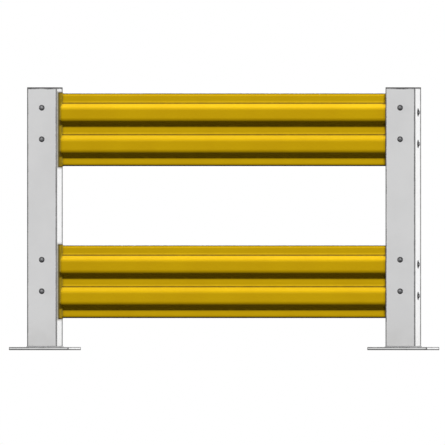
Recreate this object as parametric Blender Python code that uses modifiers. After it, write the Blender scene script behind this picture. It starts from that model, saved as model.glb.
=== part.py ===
"""Industrial guard rail, in metres, +Z up.

Two square tube posts are welded to base plates that are anchored to the floor. Two corrugated steel
rails span between them. Each rail's ends are welded to end plates, and the end plates are bolted to the
posts' inner faces. A second set of bolts crosses each post from front to back.

The origin is on the floor, midway between the posts. +X runs along the rails and the front faces -Y.
"""

import math

import bmesh
import bpy
from mathutils import Matrix, Vector

# The gap that pieces which touch keep between their faces
SEAT_GAP = 0.0003

# Posts: square steel tube
POST_SIZE = 0.127
POST_WALL = 0.00476
POST_OUTER_RADIUS = 0.0045
POST_INNER_RADIUS = 0.0015
POST_SPACING = 1.5367
POST_STANDOUT = 0.0223

# Post caps: flat plates, flush with the tube
CAP_THICKNESS = 0.0032
CAP_EDGE_BEVEL = 0.0006

# Base plates: they spread past the post all round, with one anchor hole near each corner
BASE_SPREAD = 0.0635
BASE_THICKNESS = 0.0127
BASE_EDGE_BEVEL = 0.0008
ANCHOR_HOLE_DIAMETER = 0.0206
ANCHOR_EDGE_DISTANCE = 0.0254

# Fillet weld round the foot of each post, with a narrow flat at its top
WELD_LEG = 0.005
WELD_FLAT = 0.0003

# Rails: one folded sheet each, with two ridges that stand out to the front
SHEET_THICKNESS = 0.003
FLANGE_WIDTH = 0.037
VALLEY_WIDTH = 0.0332
CREST_WIDTH = 0.051
SLOPE_RUN = 0.0239
RIDGE_DEPTH = 0.0397
FLANGE_RADIUS = 0.0127
CREST_RADIUS = 0.01905
LIP_RADIUS = 0.0127
LIP_RETURN = 0.0066
FLOOR_CLEARANCE = 0.1341
RAIL_GAP = 0.3322

# The most of a flat that the fold at one of its two ends may take up
FLAT_SHARE = 0.48

# End plates: they stand past the rail's outline all round
END_PLATE_THICKNESS = 0.0048
END_PLATE_MARGIN = 0.0045
END_PLATE_CORNER = 0.002

# Bolts: domed heads on square necks, which sit in square holes
BOLT_DIAMETER = 0.0127
BOLT_POINT = 0.0012
BOLT_STICKOUT = 0.0055
HEAD_DIAMETER = 0.0224
HEAD_HEIGHT = 0.0076
HEAD_RIM = 0.0014
NECK_EXCESS = 0.0005
NECK_CLEARANCE = 0.0003
HOLE_CLEARANCE = 0.0006

# Flange nuts
NUT_ACROSS_FLATS = 0.01905
NUT_HEIGHT = 0.0118
NUT_CHAMFER = 0.0016
NUT_FLANGE_MARGIN = 0.0036
NUT_FLANGE_THICKNESS = 0.0024
NUT_FLANGE_SLOPE = 0.0012
THREAD_CLEARANCE = 0.0003

# Bolt places: the rail bolts lie a little above the ridges' middles, on the posts' centre line, with room
# for a spanner between each nut and the crest. The cross bolts pass over them inside the post.
RAIL_BOLT_RISE = 0.0066
BOLT_CROSSING_GAP = 0.0069
SPANNER_ROOM = 0.0079

# Facets of the round forms
BEND_STEPS = 8
CORNER_STEPS = 3
DOME_STEPS = 4
ROUND_STEPS = 16
CROWN_STEPS = 24
ANCHOR_STEPS = 28

# Sizes that follow
NECK_SIZE = BOLT_DIAMETER + NECK_EXCESS
NUT_FLANGE_RADIUS = NUT_ACROSS_FLATS / 2 + NUT_FLANGE_MARGIN
CROSS_BOLT_RISE = RAIL_BOLT_RISE + BOLT_DIAMETER + BOLT_CROSSING_GAP
BASE_SIZE = POST_SIZE + 2 * BASE_SPREAD
RIDGE_BASE_WIDTH = CREST_WIDTH + 2 * SLOPE_RUN
RIDGE_PITCH = RIDGE_BASE_WIDTH + VALLEY_WIDTH
RAIL_HEIGHT = 2 * (FLANGE_WIDTH + RIDGE_BASE_WIDTH) + VALLEY_WIDTH

# Places that follow
LOWER_RAIL_CENTRE = FLOOR_CLEARANCE + RAIL_HEIGHT / 2
UPPER_RAIL_CENTRE = LOWER_RAIL_CENTRE + RAIL_HEIGHT + RAIL_GAP
POST_FOOT = BASE_THICKNESS + SEAT_GAP
POST_TOP = UPPER_RAIL_CENTRE + RAIL_HEIGHT / 2 + POST_STANDOUT
POST_CENTRE = POST_SPACING / 2
POST_HALF = POST_SIZE / 2
INNER_FACE = POST_CENTRE - POST_HALF
OUTER_FACE = POST_CENTRE + POST_HALF
END_PLATE_OUTER = INNER_FACE - SEAT_GAP
END_PLATE_INNER = END_PLATE_OUTER - END_PLATE_THICKNESS
RAIL_LENGTH = 2 * (END_PLATE_INNER - SEAT_GAP)
CREST_FRONT = -(NUT_FLANGE_RADIUS + SPANNER_ROOM + SHEET_THICKNESS)
FLANGE_FRONT = CREST_FRONT + RIDGE_DEPTH
RAIL_BACK = FLANGE_FRONT + LIP_RADIUS + LIP_RETURN

SIDES = {"left": -1, "right": 1}
RAILS = {"lower": LOWER_RAIL_CENTRE, "upper": UPPER_RAIL_CENTRE}
RIDGES = {"low": -RIDGE_PITCH / 2, "high": RIDGE_PITCH / 2}


def clear_scene():
    for item in list(bpy.data.objects):
        bpy.data.objects.remove(item, do_unlink=True)


def new_collection(name, hidden=False):
    collection = bpy.data.collections.new(name)
    bpy.context.scene.collection.children.link(collection)
    collection.hide_render = hidden
    return collection


def painted(name, colour, roughness, metallic=0.0):
    """A plain finish for one piece."""
    material = bpy.data.materials.new(name)
    material.use_nodes = True
    shader = material.node_tree.nodes["Principled BSDF"]
    shader.inputs["Base Color"].default_value = (*colour, 1.0)
    shader.inputs["Roughness"].default_value = roughness
    shader.inputs["Metallic"].default_value = metallic
    return material


def grey_coat(name):
    return painted(name + "_coat", (0.60, 0.60, 0.60), 0.5)


def yellow_coat(name):
    return painted(name + "_coat", (0.52, 0.32, 0.004), 0.4)


def dark_steel(name):
    return painted(name + "_steel", (0.16, 0.16, 0.165), 0.45, 0.8)


def place(name, mesh, matrix=None):
    """A piece as an object in the guard rail's collection."""
    piece = bpy.data.objects.new(name, mesh)
    piece.matrix_world = matrix or Matrix.Identity(4)
    PARTS.objects.link(piece)
    return piece


def place_coated(name, mesh, material, matrix=None):
    """A piece that has its mesh to itself, in its own finish."""
    mesh.materials.append(material)
    return place(name, mesh, matrix)


def mesh_from(bm, name):
    mesh = bpy.data.meshes.new(name)
    bm.to_mesh(mesh)
    bm.free()
    return mesh


def cutter_from(bm, name):
    """A closed solid that only shapes other pieces."""
    cutter = bpy.data.objects.new(name, mesh_from(bm, name))
    cutter.hide_render = True
    cutter.display_type = "WIRE"
    CUTTERS.objects.link(cutter)
    return cutter


def combine(piece, other, operation):
    modifier = piece.modifiers.new(operation.lower(), "BOOLEAN")
    modifier.operation = operation
    modifier.object = other
    modifier.solver = "EXACT"


def bevel(piece, width, angle=math.radians(40)):
    modifier = piece.modifiers.new("edge", "BEVEL")
    modifier.width = width
    modifier.segments = 1
    modifier.limit_method = "ANGLE"
    modifier.angle_limit = angle


def evaluated_mesh(piece, name):
    """The piece's shape with its modifiers applied, and its loose caps welded."""
    graph = bpy.context.evaluated_depsgraph_get()
    mesh = bpy.data.meshes.new_from_object(piece.evaluated_get(graph))
    mesh.name = name
    bm = bmesh.new()
    bm.from_mesh(mesh)
    bmesh.ops.remove_doubles(bm, verts=bm.verts, dist=1e-6)
    bm.to_mesh(mesh)
    bm.free()
    return mesh


def smooth_rounds(mesh, angle=math.radians(25)):
    mesh.shade_smooth()
    mesh.set_sharp_from_angle(angle=angle)


def rounded_square(size, radius):
    """Corner arcs, counter-clockwise, joined by the straight sides."""
    points = []
    centre = size / 2 - radius
    for quarter in range(4):
        start = quarter * math.pi / 2
        middle_x = centre * (1 if quarter in (0, 3) else -1)
        middle_y = centre * (1 if quarter in (0, 1) else -1)
        for step in range(CORNER_STEPS + 1):
            angle = start + math.pi / 2 * step / CORNER_STEPS
            points.append((middle_x + radius * math.cos(angle), middle_y + radius * math.sin(angle)))
    return points


def plate_from_outlines(name, outlines, thickness):
    """A flat outline, with its inner outline left open, given thickness about its middle."""
    curve = bpy.data.curves.new(name, "CURVE")
    curve.dimensions = "2D"
    curve.fill_mode = "BOTH"
    curve.extrude = thickness / 2
    for outline in outlines:
        spline = curve.splines.new("POLY")
        spline.points.add(len(outline) - 1)
        for point, (x, y) in zip(spline.points, outline):
            point.co = (x, y, 0, 1)
        spline.use_cyclic_u = True
    holder = bpy.data.objects.new(name, curve)
    CUTTERS.objects.link(holder)
    mesh = evaluated_mesh(holder, name)
    bpy.data.objects.remove(holder, do_unlink=True)
    return mesh


def add_cylinder(bm, radius, start, end, steps=ROUND_STEPS):
    """A capped cylinder between two points."""
    run = Vector(end) - Vector(start)
    turn = run.to_track_quat("Z", "Y").to_matrix().to_4x4()
    middle = Matrix.Translation((Vector(start) + Vector(end)) / 2)
    bmesh.ops.create_cone(
        bm,
        cap_ends=True,
        segments=steps,
        radius1=radius,
        radius2=radius,
        depth=run.length,
        matrix=middle @ turn,
    )


def add_box(bm, low, high):
    """A box between two corners."""
    size = Vector(high) - Vector(low)
    middle = Matrix.Translation((Vector(low) + Vector(high)) / 2)
    bmesh.ops.create_cube(bm, size=1.0, matrix=middle @ Matrix.Diagonal((*size, 1.0)))


def bolt_heights(rise):
    """Height of each bolt of a post, named by its rail and its ridge."""
    heights = {}
    for rail, centre in RAILS.items():
        for ridge, offset in RIDGES.items():
            heights[rail + "_" + ridge] = centre + rise + offset
    return heights


def build_base_plate(side, sign):
    """A thick square plate with lightly broken edges and an anchor hole near each corner."""
    name = side + "_base_plate"
    bm = bmesh.new()
    add_box(bm, (-BASE_SIZE / 2, -BASE_SIZE / 2, 0), (BASE_SIZE / 2, BASE_SIZE / 2, BASE_THICKNESS))
    centre = Matrix.Translation((sign * POST_CENTRE, 0, 0))
    plate = place_coated(name, mesh_from(bm, name), grey_coat(name), centre)
    bevel(plate, BASE_EDGE_BEVEL)
    holes = bmesh.new()
    reach = BASE_SIZE / 2 - ANCHOR_EDGE_DISTANCE
    for x in (-reach, reach):
        for y in (-reach, reach):
            start = (sign * POST_CENTRE + x, y, -BASE_THICKNESS)
            end = (sign * POST_CENTRE + x, y, 2 * BASE_THICKNESS)
            add_cylinder(holes, ANCHOR_HOLE_DIAMETER / 2, start, end, ANCHOR_STEPS)
    combine(plate, cutter_from(holes, side + "_anchor_holes"), "DIFFERENCE")


def build_post(side, sign):
    """A square tube, with square holes for the bolts' necks and round holes opposite them."""
    name = side + "_post"
    section = [
        rounded_square(POST_SIZE, POST_OUTER_RADIUS),
        rounded_square(POST_SIZE - 2 * POST_WALL, POST_INNER_RADIUS),
    ]
    mesh = plate_from_outlines(name, section, POST_TOP - POST_FOOT)
    middle = Matrix.Translation((sign * POST_CENTRE, 0, (POST_FOOT + POST_TOP) / 2))
    post = place_coated(name, mesh, grey_coat(name), middle)
    smooth_rounds(mesh, math.radians(40))

    holes = bmesh.new()
    neck_half = NECK_SIZE / 2 + NECK_CLEARANCE
    shank_hole = BOLT_DIAMETER / 2 + HOLE_CLEARANCE
    wall_middle = POST_HALF - POST_WALL / 2
    for z in bolt_heights(RAIL_BOLT_RISE).values():
        outer = sign * (POST_CENTRE + wall_middle)
        inner = sign * (POST_CENTRE - wall_middle)
        add_box(
            holes,
            (outer - POST_WALL, -neck_half, z - neck_half),
            (outer + POST_WALL, neck_half, z + neck_half),
        )
        add_cylinder(holes, shank_hole, (inner - POST_WALL, 0, z), (inner + POST_WALL, 0, z))
    for z in bolt_heights(CROSS_BOLT_RISE).values():
        x = sign * POST_CENTRE
        add_box(
            holes,
            (x - neck_half, -wall_middle - POST_WALL, z - neck_half),
            (x + neck_half, -wall_middle + POST_WALL, z + neck_half),
        )
        add_cylinder(holes, shank_hole, (x, wall_middle - POST_WALL, z), (x, wall_middle + POST_WALL, z))
    combine(post, cutter_from(holes, side + "_bolt_holes"), "DIFFERENCE")


def build_post_cap(side, sign):
    """A thin flat plate, welded flush on the end of the tube."""
    name = side + "_post_cap"
    mesh = plate_from_outlines(name, [rounded_square(POST_SIZE, POST_OUTER_RADIUS)], CAP_THICKNESS)
    height = POST_TOP + SEAT_GAP + CAP_THICKNESS / 2
    cap = place_coated(name, mesh, grey_coat(name), Matrix.Translation((sign * POST_CENTRE, 0, height)))
    bevel(cap, CAP_EDGE_BEVEL, math.radians(60))


def build_foot_weld(side, sign):
    """A fillet weld: a low frustum round the foot of the post, open where the post stands."""
    name = side + "_foot_weld"
    clear = POST_SIZE + 2 * SEAT_GAP
    toe = clear / 2 + WELD_LEG
    bm = bmesh.new()
    add_box(bm, (-toe, -toe, POST_FOOT), (toe, toe, POST_FOOT + WELD_LEG))
    top_edges = [e for e in bm.edges if all(v.co.z > POST_FOOT + WELD_LEG / 2 for v in e.verts)]
    bmesh.ops.bevel(bm, geom=top_edges, offset=WELD_LEG - WELD_FLAT, segments=1, affect="EDGES")
    centre = Matrix.Translation((sign * POST_CENTRE, 0, 0))
    weld = place_coated(name, mesh_from(bm, name), grey_coat(name), centre)
    opening = plate_from_outlines(
        name + "_opening", [rounded_square(clear, POST_OUTER_RADIUS + SEAT_GAP)], 4 * WELD_LEG
    )
    bm = bmesh.new()
    bm.from_mesh(opening)
    bmesh.ops.translate(bm, verts=bm.verts, vec=(sign * POST_CENTRE, 0, POST_FOOT))
    combine(weld, cutter_from(bm, side + "_weld_opening"), "DIFFERENCE")


def arc_at_corner(before, corner, after, radius):
    """Points of the arc that rounds a corner: it touches both sides at radius * tan(turn / 2) from it."""
    arrive = (corner - before).normalized()
    leave = (after - corner).normalized()
    turn = arrive.angle(leave)
    reach = radius * math.tan(turn / 2)
    inward = (leave - arrive).normalized()
    middle = corner + inward * (radius / math.cos(turn / 2))
    spoke = (corner - arrive * reach) - middle
    tangent = arrive * radius
    return [
        middle + spoke * math.cos(turn * step / BEND_STEPS) + tangent * math.sin(turn * step / BEND_STEPS)
        for step in range(BEND_STEPS + 1)
    ]


def rail_section():
    """The sheet's front face from the bottom lip to the top lip, as (depth, height) points.

    Flat flanges and a flat valley lie between the ridges. Every fold is an arc of its own radius, and
    both edges are returned to the back.
    """
    half = RAIL_HEIGHT / 2
    fold = math.atan2(RIDGE_DEPTH, SLOPE_RUN)
    flange_bend = min(FLANGE_RADIUS, FLAT_SHARE * VALLEY_WIDTH / math.tan(fold / 2))
    crest_bend = min(CREST_RADIUS, FLAT_SHARE * CREST_WIDTH / math.tan(fold / 2))
    corners = [(RAIL_BACK, -half, 0), (FLANGE_FRONT, -half, LIP_RADIUS)]
    for middle in RIDGES.values():
        corners.append((FLANGE_FRONT, middle - RIDGE_BASE_WIDTH / 2, flange_bend))
        corners.append((CREST_FRONT, middle - CREST_WIDTH / 2, crest_bend))
        corners.append((CREST_FRONT, middle + CREST_WIDTH / 2, crest_bend))
        corners.append((FLANGE_FRONT, middle + RIDGE_BASE_WIDTH / 2, flange_bend))
    corners += [(FLANGE_FRONT, half, LIP_RADIUS), (RAIL_BACK, half, 0)]
    spots = [Vector(corner[:2]) for corner in corners]
    points = [spots[0]]
    for index in range(1, len(spots) - 1):
        points += arc_at_corner(spots[index - 1], spots[index], spots[index + 1], corners[index][2])
    points.append(spots[-1])
    return points


def build_rail(rail, centre):
    """The section drawn along the rail's length, with the sheet's thickness added behind it."""
    name = rail + "_rail"
    bm = bmesh.new()
    verts = [bm.verts.new((-RAIL_LENGTH / 2, point.x, point.y)) for point in rail_section()]
    edges = [bm.edges.new(pair) for pair in zip(verts, verts[1:])]
    drawn = bmesh.ops.extrude_edge_only(bm, edges=edges)["geom"]
    moved = [item for item in drawn if isinstance(item, bmesh.types.BMVert)]
    bmesh.ops.translate(bm, verts=moved, vec=(RAIL_LENGTH, 0, 0))
    bm.normal_update()
    if sum(face.normal.y * face.calc_area() for face in bm.faces) > 0:
        bmesh.ops.reverse_faces(bm, faces=bm.faces)
    mesh = mesh_from(bm, name)
    smooth_rounds(mesh)
    sheet = place_coated(name, mesh, yellow_coat(name), Matrix.Translation((0, 0, centre)))
    solid = sheet.modifiers.new("sheet", "SOLIDIFY")
    solid.thickness = SHEET_THICKNESS
    solid.offset = -1
    solid.use_even_offset = True


def build_end_plate(rail, centre, side, sign):
    """A flat plate across the rail's end, with two holes for the rail bolts."""
    name = rail + "_" + side + "_end_plate"
    outer = sign * END_PLATE_OUTER
    inner = sign * END_PLATE_INNER
    half_height = RAIL_HEIGHT / 2 + END_PLATE_MARGIN
    bm = bmesh.new()
    add_box(
        bm,
        (min(outer, inner), CREST_FRONT - END_PLATE_MARGIN, centre - half_height),
        (max(outer, inner), RAIL_BACK + END_PLATE_MARGIN, centre + half_height),
    )
    corner_edges = [e for e in bm.edges if abs(e.verts[0].co.x - e.verts[1].co.x) > END_PLATE_THICKNESS / 2]
    bmesh.ops.bevel(bm, geom=corner_edges, offset=END_PLATE_CORNER, segments=2, profile=0.5, affect="EDGES")
    plate = place_coated(name, mesh_from(bm, name), yellow_coat(name))
    holes = bmesh.new()
    for offset in RIDGES.values():
        z = centre + RAIL_BOLT_RISE + offset
        start = (outer + sign * END_PLATE_THICKNESS, 0, z)
        end = (inner - sign * END_PLATE_THICKNESS, 0, z)
        add_cylinder(holes, BOLT_DIAMETER / 2 + HOLE_CLEARANCE, start, end)
    combine(plate, cutter_from(holes, name + "_holes"), "DIFFERENCE")


def bolt_mesh(name, grip):
    """A turned bolt with a domed head above z = 0 and its shank below, joined to a square neck."""
    head_radius = HEAD_DIAMETER / 2
    shank_radius = BOLT_DIAMETER / 2
    tip = -(grip + SEAT_GAP + NUT_HEIGHT + BOLT_STICKOUT)
    rise = HEAD_HEIGHT - HEAD_RIM
    dome_radius = (head_radius**2 + rise**2) / (2 * rise)
    dome_angle = math.asin(head_radius / dome_radius)
    profile = []
    for step in range(DOME_STEPS + 1):
        angle = dome_angle * step / DOME_STEPS
        profile.append((dome_radius * math.sin(angle), HEAD_HEIGHT - dome_radius * (1 - math.cos(angle))))
    profile += [(head_radius, 0), (shank_radius, 0), (shank_radius, tip + BOLT_POINT)]
    profile += [(shank_radius - BOLT_POINT, tip), (0, tip)]

    bm = bmesh.new()
    verts = [bm.verts.new((radius, 0, height)) for radius, height in profile]
    for pair in zip(verts, verts[1:]):
        bm.edges.new(pair)
    turned = bpy.data.objects.new(name, mesh_from(bm, name))
    CUTTERS.objects.link(turned)
    screw = turned.modifiers.new("turn", "SCREW")
    screw.steps = ROUND_STEPS
    screw.render_steps = ROUND_STEPS
    screw.use_merge_vertices = True
    screw.merge_threshold = 1e-5

    neck = bmesh.new()
    half = NECK_SIZE / 2
    add_box(neck, (-half, -half, -POST_WALL), (half, half, HEAD_RIM / 2))
    neck_block = cutter_from(neck, name + "_neck")
    combine(turned, neck_block, "UNION")
    mesh = evaluated_mesh(turned, name)
    mesh.materials.append(dark_steel(name))
    smooth_rounds(mesh)
    bpy.data.objects.remove(turned, do_unlink=True)
    bpy.data.objects.remove(neck_block, do_unlink=True)
    return mesh


def nut_mesh(name):
    """A hexagon with a chamfered top on a round flange, bored through; it stands on z = 0."""
    corner_radius = NUT_ACROSS_FLATS / math.sqrt(3)
    bm = bmesh.new()
    add_cylinder(bm, corner_radius, (0, 0, NUT_FLANGE_THICKNESS / 2), (0, 0, NUT_HEIGHT), 6)
    blank = bpy.data.objects.new(name, mesh_from(bm, name))
    CUTTERS.objects.link(blank)

    crown = bmesh.new()
    crown_reach = NUT_HEIGHT + NUT_CHAMFER
    taper = (corner_radius - NUT_ACROSS_FLATS / 2) / NUT_CHAMFER
    bmesh.ops.create_cone(
        crown,
        cap_ends=True,
        segments=CROWN_STEPS,
        radius1=NUT_ACROSS_FLATS / 2 + taper * NUT_HEIGHT,
        radius2=NUT_ACROSS_FLATS / 2 - taper * NUT_CHAMFER,
        depth=crown_reach,
        matrix=Matrix.Translation((0, 0, crown_reach / 2)),
    )
    combine(blank, cutter_from(crown, name + "_crown"), "INTERSECT")

    flange = bmesh.new()
    add_cylinder(flange, NUT_FLANGE_RADIUS, (0, 0, 0), (0, 0, NUT_FLANGE_THICKNESS), CROWN_STEPS)
    rim = [e for e in flange.edges if all(v.co.z > NUT_FLANGE_THICKNESS / 2 for v in e.verts)]
    bmesh.ops.bevel(flange, geom=rim, offset=NUT_FLANGE_SLOPE, segments=1, affect="EDGES")
    combine(blank, cutter_from(flange, name + "_flange"), "UNION")

    bore = bmesh.new()
    add_cylinder(bore, BOLT_DIAMETER / 2 + THREAD_CLEARANCE, (0, 0, -NUT_HEIGHT), (0, 0, 2 * NUT_HEIGHT))
    combine(blank, cutter_from(bore, name + "_bore"), "DIFFERENCE")
    mesh = evaluated_mesh(blank, name)
    mesh.materials.append(dark_steel(name))
    bpy.data.objects.remove(blank, do_unlink=True)
    return mesh


def facing(direction, spot):
    """A frame at a spot whose +Z points in a direction."""
    turn = Vector(direction).to_track_quat("Z", "Y").to_matrix().to_4x4()
    return Matrix.Translation(spot) @ turn


def build_rail_bolts(side, sign):
    """Bolts from the post's outer face through both walls and the end plate, each with its nut."""
    for label, z in bolt_heights(RAIL_BOLT_RISE).items():
        head_spot = (sign * (OUTER_FACE + SEAT_GAP), 0, z)
        nut_spot = (sign * (END_PLATE_INNER - SEAT_GAP), 0, z)
        bolt = side + "_" + label + "_rail_bolt"
        nut = side + "_" + label + "_rail_nut"
        place(bolt, RAIL_BOLT, facing((sign, 0, 0), head_spot))
        place(nut, NUT, facing((-sign, 0, 0), nut_spot))


def build_cross_bolts(side, sign):
    """Bolts from the post's front face through both walls to a nut on its back."""
    for label, z in bolt_heights(CROSS_BOLT_RISE).items():
        x = sign * POST_CENTRE
        bolt = side + "_" + label + "_cross_bolt"
        nut = side + "_" + label + "_cross_nut"
        place(bolt, CROSS_BOLT, facing((0, -1, 0), (x, -POST_HALF - SEAT_GAP, z)))
        place(nut, NUT, facing((0, 1, 0), (x, POST_HALF + SEAT_GAP, z)))


clear_scene()
PARTS = new_collection("industrial_guard_rail")
CUTTERS = new_collection("cutters", hidden=True)

RAIL_BOLT = bolt_mesh("rail_bolt", OUTER_FACE - END_PLATE_INNER + 2 * SEAT_GAP)
CROSS_BOLT = bolt_mesh("cross_bolt", POST_SIZE + 2 * SEAT_GAP)
NUT = nut_mesh("flange_nut")

for side_name, side_sign in SIDES.items():
    build_base_plate(side_name, side_sign)
    build_foot_weld(side_name, side_sign)
    build_post(side_name, side_sign)
    build_post_cap(side_name, side_sign)
    build_rail_bolts(side_name, side_sign)
    build_cross_bolts(side_name, side_sign)

for rail_name, rail_centre in RAILS.items():
    build_rail(rail_name, rail_centre)
    for side_name, side_sign in SIDES.items():
        build_end_plate(rail_name, rail_centre, side_name, side_sign)
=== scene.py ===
"""Industrial guard rail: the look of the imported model, in the order in which the real one is put together."""

import math

import bmesh
import bpy
import numpy as np
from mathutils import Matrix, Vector


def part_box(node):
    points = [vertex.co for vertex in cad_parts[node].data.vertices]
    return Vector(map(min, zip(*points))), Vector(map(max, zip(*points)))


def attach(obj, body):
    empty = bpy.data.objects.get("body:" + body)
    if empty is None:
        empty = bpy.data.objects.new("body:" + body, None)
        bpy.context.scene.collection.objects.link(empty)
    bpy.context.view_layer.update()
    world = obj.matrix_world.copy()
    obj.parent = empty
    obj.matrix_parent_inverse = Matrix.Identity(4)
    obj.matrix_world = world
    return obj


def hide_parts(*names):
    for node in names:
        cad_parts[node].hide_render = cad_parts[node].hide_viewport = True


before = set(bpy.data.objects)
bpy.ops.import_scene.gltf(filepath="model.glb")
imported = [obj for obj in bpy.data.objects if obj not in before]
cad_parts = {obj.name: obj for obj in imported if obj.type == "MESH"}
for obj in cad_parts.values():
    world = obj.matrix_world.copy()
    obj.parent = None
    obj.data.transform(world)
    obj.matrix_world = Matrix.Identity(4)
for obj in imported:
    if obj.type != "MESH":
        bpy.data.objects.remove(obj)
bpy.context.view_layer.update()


# Base plates
# Two squares of half-inch steel plate with lightly rounded edges and an anchor hole drilled near each corner.
# The light grey powder coat is thin and rubbed dark along the edges, with dust on top, painted shade round the
# post, and painted shade along the plate's foot where it meets the floor.
PLATE_CORNER = 0.002
PLATE_EDGE = 0.0008
HOLE_RADIUS = 0.0103
HOLE_CHAMFER = 0.0006
HOLE_INSET = 0.0254
HOLE_STEPS = 72
CORNER_STEPS = 9
EDGE_STEPS = 5
WELD_LEG = 0.005
POST_SIDES = (("left", -1), ("right", 1))
BARE_FULL = 0.0002
BARE_END = 0.0007
DUST_START = 0.0005
DUST_FULL = 0.0002
RUB_DRIFT = 0.2
RUB_FULL = 1.1
RUB_END = 1.6
PLATE_RUB = 0.0039
PLATE_END_STRETCH = 0.22
# Painted shade on the plate's top round the post, and along its foot by the floor.
PLATE_SHADE_START = WELD_LEG * 0.8
PLATE_SHADE_REACH = 0.014
PLATE_SHADE_SHARE = 0.75
ROUND_POST_SHADE = (0.07, 0.066, 0.06)
FLOOR_SHADE_FULL = 0.0028
FLOOR_SHADE_END = 0.0052
FLOOR_SHADE_SHARE = 0.9
FLOOR_SHADE = (0.03, 0.028, 0.026)
COAT_GREY = (0.6, 0.6, 0.603)
COAT_PALE = (0.63, 0.63, 0.632)
STEEL_DARK = (0.025, 0.025, 0.0255)
STEEL_PALE = (0.11, 0.11, 0.112)
DUSTY_GREY = (0.37, 0.367, 0.36)
FLOOR_DUST = (0.28, 0.273, 0.26)


def joined_rows(rows, closed_rows=False, closed_columns=True):
    """Quads between neighbouring points of a grid of rows by columns, wrapped round where it is closed."""
    count = rows.shape[0] * rows.shape[1]
    index = np.arange(count).reshape(rows.shape[:2])
    if closed_rows:
        index = np.vstack([index, index[:1]])
    if closed_columns:
        index = np.hstack([index, index[:, :1]])
    corners = (index[:-1, :-1], index[:-1, 1:], index[1:, 1:], index[1:, :-1])
    return np.stack(corners, axis=-1).reshape(-1, 4)


def solid_mesh(name, surfaces, smooth_angle=35):
    """One mesh from several (points, faces) surfaces: their shared edges are welded, and faces point out."""
    mesh = bpy.data.meshes.new(name)
    points = np.vstack([surface[0].reshape(-1, 3) for surface in surfaces])
    faces = []
    start = 0
    for surface_points, surface_faces in surfaces:
        faces += (surface_faces + start).tolist()
        start += surface_points.size // 3
    mesh.from_pydata(points.tolist(), [], faces)
    weld_and_turn_out(mesh)
    mesh.shade_smooth()
    mesh.set_sharp_from_angle(angle=math.radians(smooth_angle))
    return mesh


def weld_and_turn_out(mesh):
    """Merges the doubles where surfaces meet and turns every face outwards."""
    work = bmesh.new()
    work.from_mesh(mesh)
    bmesh.ops.remove_doubles(work, verts=work.verts, dist=1e-6)
    bmesh.ops.recalc_face_normals(work, faces=work.faces)
    work.to_mesh(mesh)
    work.free()


def set_finish(piece, finish):
    """Gives a piece its finish. Light that bounces off it is left out, as in the photo's even light."""
    piece.data.materials.clear()
    piece.data.materials.append(finish)
    piece.visible_diffuse = False


def add_piece(name, mesh, finish, slot, *nodes):
    """A finished piece that stands for its CAD nodes."""
    piece = bpy.data.objects.new(name, mesh)
    bpy.context.scene.collection.objects.link(piece)
    set_finish(piece, finish)
    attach(piece, "root")
    if nodes:
        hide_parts(*nodes)


def start_finish(name, specular, metallic=0.0):
    """A new finish: the material, its node tree, its shader and the place on the object."""
    finish = bpy.data.materials.new(name)
    finish.use_nodes = True
    tree = finish.node_tree
    shader = tree.nodes["Principled BSDF"]
    shader.inputs["Specular IOR Level"].default_value = specular
    shader.inputs["Metallic"].default_value = metallic
    spot = tree.nodes.new("ShaderNodeTexCoord").outputs["Object"]
    return finish, tree, shader, spot


def feed(tree, socket, value):
    """Gives a socket a number, a colour or a link."""
    if isinstance(value, bpy.types.NodeSocket):
        tree.links.new(value, socket)
    else:
        socket.default_value = value


def reckon(tree, operation, first, second=0.0):
    """One step of arithmetic on two values."""
    node = tree.nodes.new("ShaderNodeMath")
    node.operation = operation
    feed(tree, node.inputs[0], first)
    feed(tree, node.inputs[1], second)
    return node.outputs[0]


def shift(tree, operation, first, second=(0.0, 0.0, 0.0)):
    """One step of arithmetic on two places."""
    node = tree.nodes.new("ShaderNodeVectorMath")
    node.operation = operation
    feed(tree, node.inputs[0], first)
    feed(tree, node.inputs[1], second)
    return node.outputs[0]


def length_of(tree, place):
    """Distance of a place from nought."""
    node = tree.nodes.new("ShaderNodeVectorMath")
    node.operation = "LENGTH"
    tree.links.new(place, node.inputs[0])
    return node.outputs["Value"]


def parts_of(tree, place):
    """A place's three numbers: along the rails, from front to back, and up."""
    node = tree.nodes.new("ShaderNodeSeparateXYZ")
    tree.links.new(place, node.inputs[0])
    return node.outputs


def ramp(tree, value, start, end, first=0.0, last=1.0):
    """A smooth change from first to last as the value goes from start to end."""
    node = tree.nodes.new("ShaderNodeMapRange")
    node.interpolation_type = "SMOOTHSTEP"
    for socket, number in zip(node.inputs, (value, start, end, first, last)):
        feed(tree, socket, number)
    return node.outputs[0]


def mottle(tree, spot, scale, detail=2.0):
    """Noise from 0 to 1 with that many blotches to the metre."""
    node = tree.nodes.new("ShaderNodeTexNoise")
    node.inputs["Scale"].default_value = scale
    node.inputs["Detail"].default_value = detail
    tree.links.new(spot, node.inputs["Vector"])
    return node.outputs[0]


def patchy(tree, spot, scale, detail=2.0, soft=0.2, first=0.0, last=1.0):
    """Patches of first and last, that many to the metre, with borders as soft as said."""
    return ramp(tree, mottle(tree, spot, scale, detail), 0.5 - soft, 0.5 + soft, first, last)


def tint(tree, share, under, over):
    """A colour that goes from one to the other with the share."""
    node = tree.nodes.new("ShaderNodeMix")
    node.data_type = "RGBA"
    feed(tree, node.inputs["Factor"], share)
    feed(tree, node.inputs["A"], under if isinstance(under, bpy.types.NodeSocket) else (*under, 1.0))
    feed(tree, node.inputs["B"], over if isinstance(over, bpy.types.NodeSocket) else (*over, 1.0))
    return node.outputs["Result"]


def raise_grain(tree, shader, spot, grains, depth):
    """Small relief on the surface, with that many grains to the metre and that depth in metres."""
    node = tree.nodes.new("ShaderNodeBump")
    node.inputs["Distance"].default_value = depth
    tree.links.new(mottle(tree, spot, grains), node.inputs["Height"])
    tree.links.new(node.outputs[0], shader.inputs["Normal"])


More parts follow.
